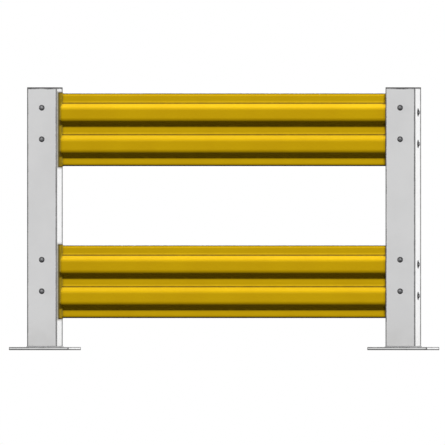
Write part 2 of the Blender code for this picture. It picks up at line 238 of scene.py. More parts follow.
def folded(tree, spot, *middles):
    """The place from each middle in turn, with what mirrors across that middle laid together."""
    for middle in middles:
        spot = shift(tree, "ABSOLUTE", shift(tree, "SUBTRACT", spot, middle))
    return spot


def edge_distance(tree, spot, fold, middle, half, stretch=(1, 1, 1)):
    """Distance from the nearest edge of a box. Boxes that mirror each other across the fold count as one.

    The place is folded over, taken from the box's middle, and folded again. Of its three distances from the
    box's faces the smallest is nought on the surface, so the middle one is the distance from the edge. The
    stretch makes the band along an edge wider where it is below 1.
    """
    inside = shift(tree, "SUBTRACT", half, folded(tree, spot, fold, middle))
    along, deep, up = parts_of(tree, shift(tree, "MULTIPLY", inside, stretch))
    lower = reckon(tree, "MINIMUM", along, deep)
    upper = reckon(tree, "MAXIMUM", along, deep)
    return reckon(tree, "MAXIMUM", lower, reckon(tree, "MINIMUM", upper, up))


def outside_distance(tree, spot, fold, middle, half):
    """Distance outside a box, folded as in edge_distance: the most by which the place passes a face."""
    along, deep, up = parts_of(tree, shift(tree, "SUBTRACT", folded(tree, spot, fold, middle), half))
    return reckon(tree, "MAXIMUM", reckon(tree, "MAXIMUM", along, deep), up)


def rubbed_edge(tree, spot, distance, width):
    """Share of the coat that is rubbed off: full at the edge, ragged where it ends, narrower in places."""
    chips = reckon(tree, "MULTIPLY", mottle(tree, spot, scale=330.0, detail=3.0), width)
    drift = patchy(tree, spot, scale=19.0, detail=3.0, soft=0.15, last=width * RUB_DRIFT)
    reach = reckon(tree, "ADD", distance, reckon(tree, "ADD", chips, drift))
    return ramp(tree, reach, width * RUB_FULL, width * RUB_END, first=1.0, last=0.0)


def worn_steel(tree, spot):
    """Steel that shows where the coat is gone, darker and lighter in specks."""
    return tint(tree, patchy(tree, spot, scale=520.0, detail=3.0, soft=0.1), STEEL_DARK, STEEL_PALE)


def on_top_face(tree, up, top):
    """1 on a flat top face at that height, where dust lies, and 0 just below it."""
    return ramp(tree, up, top - DUST_START, top - DUST_FULL)


def coat_roughness(tree, shader, spot, low, high, dusty=0.0):
    """Gloss that changes a little from place to place, and is dull where dust lies."""
    gloss = patchy(tree, spot, scale=9.0, first=low, last=high)
    tree.links.new(reckon(tree, "MAXIMUM", gloss, dusty), shader.inputs["Roughness"])


def quarter_rays(half):
    """Angles and directions of rays from the hole's centre: even ones, and more to the quarter's corners."""
    centre = half - HOLE_INSET
    even = np.linspace(0, 2 * np.pi, HOLE_STEPS, endpoint=False)
    inner = np.arctan2([-centre, -centre, HOLE_INSET], [-centre, HOLE_INSET, -centre]) % (2 * np.pi)
    edge = half - PLATE_CORNER * (1 - np.sin(np.linspace(0, np.pi / 2, CORNER_STEPS)))
    side = np.full(CORNER_STEPS, half)
    rounded = np.arctan2(np.append(edge, side) - centre, np.append(side, edge) - centre)
    angle = np.unique(np.round(np.concatenate([even, inner, rounded]), 9))
    return angle, np.stack([np.cos(angle), np.sin(angle)], axis=-1)


def quarter_outline(half, ray):
    """Where each ray meets the quarter's square, and the nearest place a corner's radius in from the edges.

    With them come the direction from the second place to the first, and whether the ray meets an edge of the
    plate rather than a line that the quarter shares with another.
    """
    centre = half - HOLE_INSET
    with np.errstate(divide="ignore"):
        limit = np.where(ray > 0, (half - centre) / ray, np.where(ray < 0, -centre / ray, np.inf))
    outline = centre + ray * limit.min(axis=1)[:, None]
    inside = np.minimum(outline, half - PLATE_CORNER)
    gap = np.linalg.norm(outline - inside, axis=1)[:, None]
    on_edge = gap > 1e-7
    out = np.where(on_edge, (outline - inside) / np.maximum(gap, 1e-12), 0.0)
    return outline, inside, out, on_edge


def plate_quarter(half, thickness):
    """Top, bottom and hole wall of a quarter of the plate, from its middle to its outer corner.

    Each ray from the hole's centre carries the points from the bottom of the outline, in to the hole, up its
    wall with a chamfer at each end, and back out on top. The sides are quarter rounds at the top and bottom.
    """
    centre = half - HOLE_INSET
    angle, ray = quarter_rays(half)
    outline, inside, out, on_edge = quarter_outline(half, ray)

    def rim(inset, height):
        flat = np.where(on_edge, inside + out * (PLATE_CORNER - inset), outline)
        return np.column_stack([flat, np.full(len(angle), height)])

    def ring(radius, height):
        return np.column_stack([centre + ray * radius, np.full(len(angle), height)])

    faces = np.stack([
        rim(PLATE_EDGE, 0.0),
        ring(HOLE_RADIUS + HOLE_CHAMFER, 0.0),
        ring(HOLE_RADIUS, HOLE_CHAMFER),
        ring(HOLE_RADIUS, thickness - HOLE_CHAMFER),
        ring(HOLE_RADIUS + HOLE_CHAMFER, thickness),
        rim(PLATE_EDGE, thickness),
    ])
    turn = np.linspace(0, np.pi / 2, EDGE_STEPS)
    lower = [rim(PLATE_EDGE * (1 - math.sin(t)), PLATE_EDGE * (1 - math.cos(t))) for t in turn]
    upper = [rim(PLATE_EDGE * (1 - math.cos(t)), thickness - PLATE_EDGE * (1 - math.sin(t))) for t in turn]
    order = np.argsort((angle + np.pi / 2) % (2 * np.pi))
    order = order[on_edge[order, 0]]
    sides = np.stack(lower + upper)[:, order]
    return faces, sides


def base_plate_mesh(name, centre_x, half, thickness):
    """Four mirrored quarters, welded along the plate's middle lines."""
    faces, sides = plate_quarter(half, thickness)
    surfaces = []
    for mirror_x in (-1, 1):
        for mirror_y in (-1, 1):
            turn = np.array([mirror_x, mirror_y, 1.0])
            move = np.array([centre_x, 0.0, 0.0])
            surfaces.append((faces * turn + move, joined_rows(faces)))
            surfaces.append((sides * turn + move, joined_rows(sides, closed_columns=False)))
    return solid_mesh(name, surfaces)


plate_low, plate_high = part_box("right_base_plate")
post_low, post_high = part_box("right_post")
POST_CENTRE = (plate_low.x + plate_high.x) / 2
PLATE_HALF = (plate_high.x - plate_low.x) / 2
PLATE_THICKNESS = plate_high.z - plate_low.z
POST_HALF = (post_high.x - post_low.x) / 2


def in_holes(tree, spot):
    """1 on the walls of the anchor holes, which are drilled after the plate is coated.

    Their dark bare steel also serves as painted shade inside the holes.
    """
    hole = PLATE_HALF - HOLE_INSET
    from_hole = shift(tree, "SUBTRACT", folded(tree, spot, (0, 0, 0), (POST_CENTRE, 0, 0)), (hole, hole, 0))
    distance = length_of(tree, shift(tree, "MULTIPLY", from_hole, (1, 1, 0)))
    return ramp(tree, distance, HOLE_RADIUS + BARE_FULL, HOLE_RADIUS + BARE_END, first=1.0, last=0.0)


plate_coat, tree, shader, spot = start_finish("plate_coat", specular=0.12)
_, _, up = parts_of(tree, spot)
plate_box = (0, 0, PLATE_THICKNESS / 2), (POST_CENTRE, 0, 0), (PLATE_HALF, PLATE_HALF, PLATE_THICKNESS / 2)
worn = edge_distance(tree, spot, *plate_box)
worn_ends = edge_distance(tree, spot, *plate_box, stretch=(1, PLATE_END_STRETCH, 1))
on_top = on_top_face(tree, up, PLATE_THICKNESS)
dust = tint(tree, patchy(tree, spot, scale=14.0, detail=5.0), DUSTY_GREY, FLOOR_DUST)
bare = worn_steel(tree, spot)
coat = tint(tree, patchy(tree, spot, scale=14.0, detail=4.0), COAT_GREY, COAT_PALE)
coat = tint(tree, rubbed_edge(tree, spot, worn_ends, PLATE_RUB), coat, bare)
coat = tint(tree, on_top, coat, tint(tree, rubbed_edge(tree, spot, worn, PLATE_RUB), dust, bare))
# Bare steel in the holes, which also serves as painted shade there.
coat = tint(tree, in_holes(tree, spot), coat, bare)
# Painted shade round the post, and along the plate's foot by the floor.
from_post = outside_distance(tree, spot, (0, 0, 0), (POST_CENTRE, 0, 0), (POST_HALF, POST_HALF, 1))
shade_round_post = ramp(tree, from_post, PLATE_SHADE_START, PLATE_SHADE_REACH, first=PLATE_SHADE_SHARE, last=0.0)
shade_near_floor = ramp(tree, up, FLOOR_SHADE_FULL, FLOOR_SHADE_END, first=FLOOR_SHADE_SHARE, last=0.0)
coat = tint(tree, shade_round_post, coat, ROUND_POST_SHADE)
coat = tint(tree, shade_near_floor, coat, FLOOR_SHADE)
tree.links.new(coat, shader.inputs["Base Color"])
coat_roughness(tree, shader, spot, low=0.5, high=0.62, dusty=on_top)
raise_grain(tree, shader, spot, grains=420.0, depth=0.00012)

for side, sign in POST_SIDES:
    node = side + "_base_plate"
    mesh = base_plate_mesh(node + "_drilled", sign * POST_CENTRE, PLATE_HALF, PLATE_THICKNESS)
    add_piece(node + "_drilled", mesh, plate_coat, "post_coat", node)


# Foot welds
# A fillet weld runs round the foot of each post, laid by hand in short overlapping ripples, and is thinly
# coated with the post.
SEAT_GAP = 0.0003
BEAD_LEG = WELD_LEG * 0.96
RIPPLE_PITCH = 0.0034
RIPPLE_SHARE = 0.12
WOBBLE_RATES = (61.0, 143.0, 307.0)
WOBBLE_SHARE = 0.05
BULGE_SHARE = 0.1
WELD_FACES = 9
POST_CORNER = 0.0045
WELD_STEPS_ON_SIDE = 190
WELD_STEPS_ON_CORNER = 14
FOOT_WELD_SEED = 3
WELD_DARK = (0.13, 0.13, 0.132)
WELD_GREY = (0.24, 0.24, 0.242)


def rounded_square_path(half, radius, side_steps, corner_steps):
    """Points and outward directions round a square with rounded corners, anticlockwise from the right."""
    places = []
    outward = []
    reach = half - radius
    for quarter in range(4):
        start = quarter * np.pi / 2
        turn = start + np.linspace(0, np.pi / 2, corner_steps)
        middle = np.array([math.cos(start) - math.sin(start), math.sin(start) + math.cos(start)]) * reach
        arc_out = np.column_stack([np.cos(turn), np.sin(turn)])
        places.append(middle + arc_out * radius)
        outward.append(arc_out)
        share = np.linspace(0, 1, side_steps + 1)[1:-1, None]
        side_out = np.array([-math.sin(start), math.cos(start)])
        along = np.array([-math.cos(start), -math.sin(start)])
        places.append(middle + side_out * radius + along * share * 2 * reach)
        outward.append(np.repeat(side_out[None], len(share), axis=0))
    return np.vstack(places), np.vstack(outward)


def travelled(points):
    """Distance along a path at each of its points."""
    steps = np.linalg.norm(np.diff(points, axis=0), axis=1)
    return np.concatenate([[0.0], np.cumsum(steps)])


def fillet_bead(places, out, up, distance, leg, seed):
    """A bead between two faces at right angles, carried along a path.

    Its section is a right-angled triangle whose long side bulges by a tenth of the leg. The leg shrinks and
    grows along the path as one minus a share of |sin|, which gives rounded ripples, with a slow drift.
    """
    phases = np.random.default_rng(seed).uniform(0, 2 * np.pi, 3)
    wobble = sum(np.sin(distance * rate + phase) for rate, phase in zip(WOBBLE_RATES, phases)) / 3
    ripple = 1 - RIPPLE_SHARE * (1 - np.abs(np.sin(np.pi * distance / RIPPLE_PITCH + wobble)))
    size = (leg * ripple * (1 - WOBBLE_SHARE * (1 + wobble)))[:, None, None]
    turn = np.linspace(0, 1, WELD_FACES)
    bulge = BULGE_SHARE * np.sin(np.pi * turn)
    section_out = np.concatenate([[0.0], 1 - turn + bulge])[None, :, None]
    section_up = np.concatenate([[0.0], turn + bulge])[None, :, None]
    return places[:, None] + out[:, None] * size * section_out + up[:, None] * size * section_up


weld_coat, tree, shader, spot = start_finish("foot_weld_coat", specular=0.12)
coat = tint(tree, patchy(tree, spot, scale=240.0, detail=3.0), WELD_DARK, WELD_GREY)
tree.links.new(coat, shader.inputs["Base Color"])
coat_roughness(tree, shader, spot, low=0.5, high=0.62)
raise_grain(tree, shader, spot, grains=900.0, depth=0.0001)

foot_path, foot_out = rounded_square_path(
    POST_HALF + SEAT_GAP, POST_CORNER + SEAT_GAP, WELD_STEPS_ON_SIDE, WELD_STEPS_ON_CORNER
)
for side, sign in POST_SIDES:
    node = side + "_foot_weld"
    places = np.column_stack([foot_path, np.full(len(foot_path), post_low.z)]) + (sign * POST_CENTRE, 0, 0)
    out = np.column_stack([foot_out, np.zeros(len(foot_out))])
    upwards = np.zeros_like(out) + (0, 0, 1)
    bead = fillet_bead(places, out, upwards, travelled(places), BEAD_LEG, seed=FOOT_WELD_SEED + sign)
    mesh = solid_mesh(node + "_bead", [(bead, joined_rows(bead, closed_rows=True))], smooth_angle=60)
    add_piece(node + "_bead", mesh, weld_coat, "post_coat", node)


# Posts and their caps
# Each post is 5 inch square steel tube, closed by a thin plate that is welded on flush and ground off. The
# light grey powder coat is rubbed and scuffed along the corners, with a dark seam at the cap, painted shade
# round the bolts, painted shade warmed by a painted yellow reflection beside the end plates, and dust on top
# and near the foot.
HEAD_RADIUS = 0.0112
# Widths of the painted shade round the bolt heads.
FRONT_RING = 0.0013
SIDE_RING = 0.009
POST_RUB = 0.0046
SCUFF_FULL = POST_RUB * 0.95
SCUFF_END = POST_RUB * 1.75
SIDE_STRETCH = 0.25
LEFT_CORNER_RUB = 0.0018
FRONT_CORNER_RUB = -0.0004
FRONT_SCUFF_SHARE = 0.72
BACK_CORNER_RUB = 0.002
BACK_START = -0.02
BACK_FULL = 0.05
FACE_SKIN = 0.0006
CAP_SEAM = 0.0098
# Painted shade beside each end plate, warmed by a painted reflection of the yellow rails.
JOINT_SHADE_REACH = 0.016
JOINT_SHADE_FULL = JOINT_SHADE_REACH * 0.5
JOINT_SHADE_END = JOINT_SHADE_REACH * 1.5
JOINT_SHADE_FRONT = 0.012
JOINT_SHADE_INSET = 0.0045
JOINT_SHADE_SHARE = 0.9
FOOT_DUST_FULL = 0.02
FOOT_DUST_END = 0.16
FOOT_DUST_SHARE = 0.3
# Dark grey of the cap's seam, and of the painted shade round the bolt heads.
SEAM_AND_SHADE_GREY = (0.02, 0.02, 0.0205)
WORN_DARK = (0.045, 0.045, 0.046)
WORN_PALE = (0.12, 0.119, 0.116)
JOINT_SHADE = (0.12, 0.105, 0.06)
FOOT_DUST = (0.4, 0.385, 0.36)
TOP_DUST = (0.31, 0.304, 0.292)

cap_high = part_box("right_post_cap")[1]
rail_low, rail_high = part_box("lower_rail")
LOWER_CENTRE = (rail_low.z + rail_high.z) / 2
UPPER_CENTRE = (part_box("upper_rail")[0].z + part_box("upper_rail")[1].z) / 2
RAILS_MIDDLE = (LOWER_CENTRE + UPPER_CENTRE) / 2
RAIL_OFFSET = (UPPER_CENTRE - LOWER_CENTRE) / 2
low_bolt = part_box("right_upper_low_cross_bolt")
high_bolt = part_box("right_upper_high_cross_bolt")
side_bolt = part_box("right_upper_high_rail_bolt")
BOLT_OFFSET = (high_bolt[0].z - low_bolt[0].z) / 2
CROSS_RISE = (low_bolt[0].z + low_bolt[1].z + high_bolt[0].z + high_bolt[1].z) / 4 - UPPER_CENTRE
RAIL_RISE = (side_bolt[0].z + side_bolt[1].z) / 2 - BOLT_OFFSET - UPPER_CENTRE
end_low, end_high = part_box("upper_right_end_plate")
end_middle = (end_low + end_high) / 2
end_half = (end_high - end_low) / 2


def shade_round_bolts(tree, spot, rise, in_face, width):
    """Share of painted shade in a ring round each bolt head on one pair of the posts' faces.

    The bolts lie in pairs, that far above each rail's middle, and in_face is 1 in the face's two directions.
    """
    from_pair = folded(tree, spot, (0, 0, RAILS_MIDDLE + rise), (POST_CENTRE, 0, RAIL_OFFSET))
    from_head = shift(tree, "SUBTRACT", from_pair, (0, 0, BOLT_OFFSET))
    distance = length_of(tree, shift(tree, "MULTIPLY", from_head, in_face))
    return ramp(tree, distance, HEAD_RADIUS + width / 2, HEAD_RADIUS + width, first=1.0, last=0.0)


def from_nearer(tree, place, apart):
    """Distance, with its sign, from the nearer of two places that lie that far on either side of nought."""
    return reckon(tree, "SUBTRACT", place, reckon(tree, "MULTIPLY", reckon(tree, "SIGN", place), apart))


post_coat, tree, shader, spot = start_finish("post_coat", specular=0.12)
along, deep, up = parts_of(tree, spot)
coat = tint(tree, patchy(tree, spot, scale=7.0, detail=4.0), COAT_GREY, COAT_PALE)
near_foot = ramp(tree, up, FOOT_DUST_FULL, FOOT_DUST_END, first=FOOT_DUST_SHARE, last=0.0)
foot_dust = reckon(tree, "MULTIPLY", near_foot, mottle(tree, spot, scale=26.0, detail=5.0))
coat = tint(tree, foot_dust, coat, FOOT_DUST)
front_ring_shade = shade_round_bolts(tree, spot, CROSS_RISE, (1, 0, 1), FRONT_RING)
side_ring_shade = shade_round_bolts(tree, spot, RAIL_RISE, (0, 1, 1), SIDE_RING)
# Painted shade round the bolt heads.
coat = tint(tree, reckon(tree, "MAXIMUM", front_ring_shade, side_ring_shade), coat, SEAM_AND_SHADE_GREY)

tall = (cap_high.z - post_low.z) / 2
post_box = (0, 0, post_low.z + tall), (POST_CENTRE, 0, 0), (POST_HALF, POST_HALF, tall)
beside = from_nearer(tree, along, POST_CENTRE)
handled = edge_distance(tree, spot, *post_box, stretch=(1, SIDE_STRETCH, 1))
specks = reckon(tree, "MULTIPLY", mottle(tree, spot, scale=210.0, detail=5.0), POST_RUB)
towards_back = ramp(tree, deep, BACK_START, BACK_FULL, FRONT_CORNER_RUB, BACK_CORNER_RUB)
handled = reckon(tree, "ADD", handled, reckon(tree, "SUBTRACT", specks, towards_back))
soiled = ramp(tree, handled, SCUFF_FULL, SCUFF_END, first=1.0, last=0.0)
scuff_share = ramp(tree, deep, BACK_START, BACK_FULL, first=FRONT_SCUFF_SHARE)
off_left_face = ramp(tree, beside, -POST_HALF, -POST_HALF + FACE_SKIN)
scuff_share = reckon(tree, "MULTIPLY", scuff_share, off_left_face)
scuffed = tint(tree, patchy(tree, spot, scale=46.0, detail=6.0, soft=0.15), WORN_DARK, WORN_PALE)
coat = tint(tree, reckon(tree, "MULTIPLY", soiled, scuff_share), coat, scuffed)
knocked = ramp(tree, beside, -POST_HALF, -POST_HALF / 2, first=LEFT_CORNER_RUB, last=0.0)
worn = reckon(tree, "SUBTRACT", edge_distance(tree, spot, *post_box), knocked)
coat = tint(tree, rubbed_edge(tree, spot, worn, POST_RUB), coat, worn_steel(tree, spot))

# Painted shade beside each end plate, warmed by a painted reflection of the yellow rails.
joint_box = (
    (0, end_middle.y - JOINT_SHADE_FRONT / 2, RAILS_MIDDLE),
    (end_middle.x, 0, RAIL_OFFSET),
    (end_half.x, end_half.y + JOINT_SHADE_FRONT / 2, end_half.z - JOINT_SHADE_INSET),
)
uneven = reckon(tree, "MULTIPLY", mottle(tree, spot, scale=110.0, detail=5.0), JOINT_SHADE_REACH)
from_plate = reckon(tree, "ADD", outside_distance(tree, spot, *joint_box), uneven)
joint_shade = ramp(tree, from_plate, JOINT_SHADE_FULL, JOINT_SHADE_END, first=JOINT_SHADE_SHARE, last=0.0)
coat = tint(tree, joint_shade, coat, JOINT_SHADE)

on_top = on_top_face(tree, up, cap_high.z)
dust = tint(tree, patchy(tree, spot, scale=14.0, detail=5.0), DUSTY_GREY, TOP_DUST)
coat = tint(tree, on_top, coat, dust)
seam = rubbed_edge(tree, spot, reckon(tree, "SUBTRACT", cap_high.z, up), CAP_SEAM)
coat = tint(tree, reckon(tree, "SUBTRACT", seam, on_top), coat, SEAM_AND_SHADE_GREY)
tree.links.new(coat, shader.inputs["Base Color"])
coat_roughness(tree, shader, spot, low=0.5, high=0.62, dusty=on_top)
raise_grain(tree, shader, spot, grains=420.0, depth=0.0001)

for side, _ in POST_SIDES:
    for part in ("_post", "_post_cap"):
        set_finish(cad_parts[side + part], post_coat)


# Rails
# Each is one corrugated sheet of 3 mm steel, roll-formed with two ridges and both edges returned to the back.
# Safety yellow powder coat, with painted shade in the folds at the foot of each slope, grime on the upper lip
# and painted shade on the lower one, a dark joint line and painted shade at both ends, and painted shade in
# the hollows at the right end.
SHEET = 0.003
VALLEY_WIDTH = 0.0332
CREST_WIDTH = 0.051
SLOPE_RUN = 0.0239
RIDGE_PITCH = CREST_WIDTH + 2 * SLOPE_RUN + VALLEY_WIDTH
FLANGE_RADIUS = 0.0127
CREST_RADIUS = 0.01905
LIP_RADIUS = 0.0127
LIP_RETURN = 0.0066
EDGE_ROUND = 0.0006
EDGE_POINTS = 11
BEND_STEPS = 22
FLAT_STEP = 0.0011
STATIONS = 24
# Painted shade along the folds and the lower lip, and grime along the upper lip.
FOLD_SHADE_WIDTH = 0.0055
FOLD_SHADE_OFFSET = 0.0012
UPPER_LIP_GRIME_HEIGHT = 0.0048
LOWER_LIP_SHADE_HEIGHT = 0.0058
LIP_SHADE_AND_GRIME_FADE = 0.0015
LIP_SHADE_AND_GRIME_SHARE = 1.15
SHADE_AND_GRIME_THIN_BELOW = 0.2
SHADE_AND_GRIME_THICK_ABOVE = 0.6
SHADE_AND_GRIME_THIN_SHARE = 0.85
SHADE_AND_GRIME_THICK_SHARE = 0.97
END_GRIME_WIDTH = 0.004
# Painted shade near both ends of the rail, where it meets the end plates.
END_SHADE_START = 0.003
END_SHADE_REACH = 0.014
END_SHADE_SHARE = 0.28
# Painted shade in the hollows beside the right post.
HOLLOW_START = 0.012
HOLLOW_FULL = 0.036
HOLLOW_SHADE_REACH = 0.021
HOLLOW_SHADE_SHARE = 0.8
YELLOW = (0.53, 0.333, 0.002)
DEEP_YELLOW = (0.505, 0.31, 0.002)
SHADE_AND_GRIME = (0.04, 0.024, 0.001)


def filled_line(start, end):
    """Even points between two places, without the ends."""
    count = max(2, int(np.linalg.norm(end - start) / FLAT_STEP))
    return start + (end - start) * np.linspace(0, 1, count + 1)[1:-1, None]


def fold_arc(before, corner, after, radius):
    """The arc that rounds a corner: it touches both sides at radius * tan(turn / 2) from the corner."""
    arrive = (corner - before) / np.linalg.norm(corner - before)
    leave = (after - corner) / np.linalg.norm(after - corner)
    turn = math.acos(float(arrive @ leave))
    inward = (leave - arrive) / np.linalg.norm(leave - arrive)
    middle = corner + inward * radius / math.cos(turn / 2)
    spoke = corner - arrive * radius * math.tan(turn / 2) - middle
    angle = np.linspace(0, turn, BEND_STEPS + 1)[:, None]
    return middle + spoke * np.cos(angle) + arrive * radius * np.sin(angle)


def rail_front(crest_front, back, half):
    """The sheet's front face from the bottom edge to the top edge as (depth, height), and its fold lines."""
    flange_front = back - LIP_RADIUS - LIP_RETURN
    ridge_base = CREST_WIDTH + 2 * SLOPE_RUN
    corners = [(back, -half, 0), (flange_front, -half, LIP_RADIUS)]
    for middle in (-RIDGE_PITCH / 2, RIDGE_PITCH / 2):
        corners.append((flange_front, middle - ridge_base / 2, FLANGE_RADIUS))
        corners.append((crest_front, middle - CREST_WIDTH / 2, CREST_RADIUS))
        corners.append((crest_front, middle + CREST_WIDTH / 2, CREST_RADIUS))
        corners.append((flange_front, middle + ridge_base / 2, FLANGE_RADIUS))
    corners += [(flange_front, half, LIP_RADIUS), (back, half, 0)]
    spots = [np.array(corner[:2]) for corner in corners]
    run = [spots[0][None]]
    folds = []
    for index in range(1, len(spots) - 1):
        arc = fold_arc(spots[index - 1], spots[index], spots[index + 1], corners[index][2])
        run += [filled_line(run[-1][-1], arc[0]), arc]
        if index in (2, 6):
            folds.append(arc[BEND_STEPS // 2])
        if index in (5, 9):
            folds.append(arc[0] + FOLD_SHADE_OFFSET * (arc[0] - arc[1]) / np.linalg.norm(arc[0] - arc[1]))
    run += [filled_line(run[-1][-1], spots[-1]), spots[-1][None]]
    return np.vstack(run), folds


def sheet_edge(end, along, out):
    """The cut edge of the sheet: a half loop whose corners are rounded like a squared-off circle."""
    angle = np.linspace(0, np.pi, EDGE_POINTS + 2)[1:-1, None]
    flat = np.sign(np.cos(angle)) * np.sqrt(np.abs(np.cos(angle)))
    proud = np.sqrt(np.sin(angle))
    return end - out * SHEET / 2 + out * SHEET / 2 * flat + along * EDGE_ROUND * proud


def rail_outline(front):
    """The section's front face, top edge, back face a sheet's thickness behind the front, and bottom edge."""
    along = np.gradient(front, axis=0)
    along /= np.linalg.norm(along, axis=1)[:, None]
    out = np.column_stack([-along[:, 1], along[:, 0]])
    front = front.copy()
    front[0] += along[0] * EDGE_ROUND
    front[-1] -= along[-1] * EDGE_ROUND
    top = sheet_edge(front[-1], along[-1], out[-1])
    bottom = sheet_edge(front[0], -along[0], out[0])
    return front, top, front - out * SHEET, bottom


def flat_strip(first, second, x, centre):
    """The strip between two lines of the section, at one end of the rail."""
    strip = np.empty((2, len(first), 3))
    strip[..., 0] = x
    strip[0, :, 1:] = first
    strip[1, :, 1:] = second
    strip[..., 2] += centre
    return strip, joined_rows(strip, closed_columns=False)


def rail_end(outline, x, centre):
    """The sheet's cut end: the strip between its faces, and a rounded half on each of its edges."""
    front, top, back, bottom = outline
    surfaces = [flat_strip(front, back, x, centre)]
    half = (EDGE_POINTS + 3) // 2
    for end, edge in ((-1, top), (0, bottom)):
        loop = np.vstack([front[end], edge, back[end]])
        surfaces.append(flat_strip(loop[:half], loop[::-1][:half], x, centre))
    return surfaces


def points_of(mesh):
    """The mesh's points as an array."""
    places = np.empty(len(mesh.vertices) * 3)
    mesh.vertices.foreach_get("co", places)
    return places.reshape(-1, 3)


def keep_on_points(mesh, name, shares):
    """Keeps a share for each point, for the finish to read by that name."""
    kept = mesh.attributes.new(name, "FLOAT", "POINT")
    kept.data.foreach_set("value", shares.astype(np.float32))


def kept_on_points(tree, name):
    """The share that the mesh keeps under that name."""
    node = tree.nodes.new("ShaderNodeAttribute")
    node.attribute_name = name
    return node.outputs["Fac"]


def keep_shade_and_grime(mesh, half_height, folds, centre):
    """Keeps each point's share of painted shade and grime, which is the larger of two.

    By a fold it is painted shade, exp of minus (distance / width) squared. On the lips it is full, and fades
    below them: grime on the upper lip, painted shade on the lower.
    """
    section = points_of(mesh)[:, 1:] - (0.0, centre)
    near = np.min([np.linalg.norm(section - fold, axis=1) for fold in folds], axis=0)
    fold_shade = np.exp(-((near / FOLD_SHADE_WIDTH) ** 2))
    below_lip = half_height - np.abs(section[:, 1])
    lip_height = np.where(section[:, 1] > 0, UPPER_LIP_GRIME_HEIGHT, LOWER_LIP_SHADE_HEIGHT)
    on_lips = LIP_SHADE_AND_GRIME_SHARE * np.clip((lip_height - below_lip) / LIP_SHADE_AND_GRIME_FADE, 0, 1)
    keep_on_points(mesh, "shade_and_grime", np.maximum(fold_shade, on_lips))


def rail_mesh(name, front, folds, length, centre):
    """The section carried along the rail, closed at both ends, with its grime."""
    outline = rail_outline(front)
    front, top, back, bottom = outline
    loop = np.vstack([front, top, back[::-1], bottom[::-1]])
    x = np.linspace(-length / 2, length / 2, STATIONS)
    sheet = np.empty((STATIONS, len(loop), 3))
    sheet[..., 0] = x[:, None]
    sheet[..., 1] = loop[:, 0]
    sheet[..., 2] = loop[:, 1] + centre
    ends = rail_end(outline, x[0], centre) + rail_end(outline, x[-1], centre)
    mesh = solid_mesh(name, [(sheet, joined_rows(sheet)), *ends], smooth_angle=40)
    keep_shade_and_grime(mesh, front[:, 1].max(), folds, centre)
    return mesh


RAIL_LENGTH = rail_high.x - rail_low.x
RAIL_HALF = (rail_high.z - rail_low.z) / 2
rail_coat, tree, shader, spot = start_finish("rail_coat", specular=0.02)
along, deep, _ = parts_of(tree, spot)
coat = tint(tree, patchy(tree, spot, scale=6.0, detail=4.0), YELLOW, DEEP_YELLOW)
blotches = mottle(tree, spot, scale=55.0, detail=4.0)
broken = ramp(tree, blotches, SHADE_AND_GRIME_THIN_BELOW, SHADE_AND_GRIME_THICK_ABOVE, SHADE_AND_GRIME_THIN_SHARE, SHADE_AND_GRIME_THICK_SHARE)
# Painted shade in the folds and on the lower lip, grime on the upper lip.
coat = tint(tree, reckon(tree, "MULTIPLY", kept_on_points(tree, "shade_and_grime"), broken), coat, SHADE_AND_GRIME)
from_end = reckon(tree, "SUBTRACT", RAIL_LENGTH / 2, reckon(tree, "ABSOLUTE", along))
# Painted shade near both ends of the rail, where it meets the end plates.
shaded_ends = ramp(tree, from_end, END_SHADE_START, END_SHADE_REACH, first=END_SHADE_SHARE, last=0.0)
coat = tint(tree, shaded_ends, coat, SHADE_AND_GRIME)
# Painted shade in the hollows beside the right post, deepest towards the back.
from_right_end = reckon(tree, "SUBTRACT", RAIL_LENGTH / 2, along)
right_end_shade = rubbed_edge(tree, spot, from_right_end, HOLLOW_SHADE_REACH)
hollow_shade_share = ramp(tree, deep, rail_low.y + HOLLOW_START, rail_low.y + HOLLOW_FULL, last=HOLLOW_SHADE_SHARE)
coat = tint(tree, reckon(tree, "MULTIPLY", right_end_shade, hollow_shade_share), coat, SHADE_AND_GRIME)
coat = tint(tree, rubbed_edge(tree, spot, from_end, END_GRIME_WIDTH), coat, SHADE_AND_GRIME)
tree.links.new(coat, shader.inputs["Base Color"])
coat_roughness(tree, shader, spot, low=0.42, high=0.55)
raise_grain(tree, shader, spot, grains=380.0, depth=0.00012)

section, fold_lines = rail_front(rail_low.y, rail_high.y, RAIL_HALF)
for rail, centre in (("lower_rail", LOWER_CENTRE), ("upper_rail", UPPER_CENTRE)):
    mesh = rail_mesh(rail + "_sheet", section, fold_lines, RAIL_LENGTH, centre)
    add_piece(rail + "_sheet", mesh, rail_coat, "rail_coat", rail)


# End plates
# Flat plates across the rails' ends, coated yellow with the rail but painted darker than it as shade, and
# rubbed dark along the edges. Painted shade lies in the corner under each ridge, with grime along each
# plate's top and painted shade along its bottom.
END_PLATE_RUB = 0.0055
# Grime along each plate's top, and painted shade along its bottom.
END_PLATE_GRIME_AND_SHADE = 0.0055
# Painted shade in the corner under each ridge.
UNDER_RIDGE_TOP = 0.026
UNDER_RIDGE_FOOT = 0.045
UNDER_RIDGE_FADE = 0.004
UNDER_RIDGE_EDGE = 0.005
UNDER_RIDGE_EDGE_SHARE = 0.45
UNDER_RIDGE_SHARE = 0.92
UNDER_RIDGE_DEPTH = 0.014
THIN_YELLOW = (0.14, 0.105, 0.014)
# The plate's yellows are darker copies of the rail's yellow: painted shade.
SHADED_PLATE_YELLOW = (0.24, 0.155, 0.003)
SHADED_PLATE_GRIME = (0.15, 0.1, 0.003)


def above_rail(tree, up):
    """Height above the middle of the nearer rail, with its sign."""
    return from_nearer(tree, reckon(tree, "SUBTRACT", up, RAILS_MIDDLE), RAIL_OFFSET)


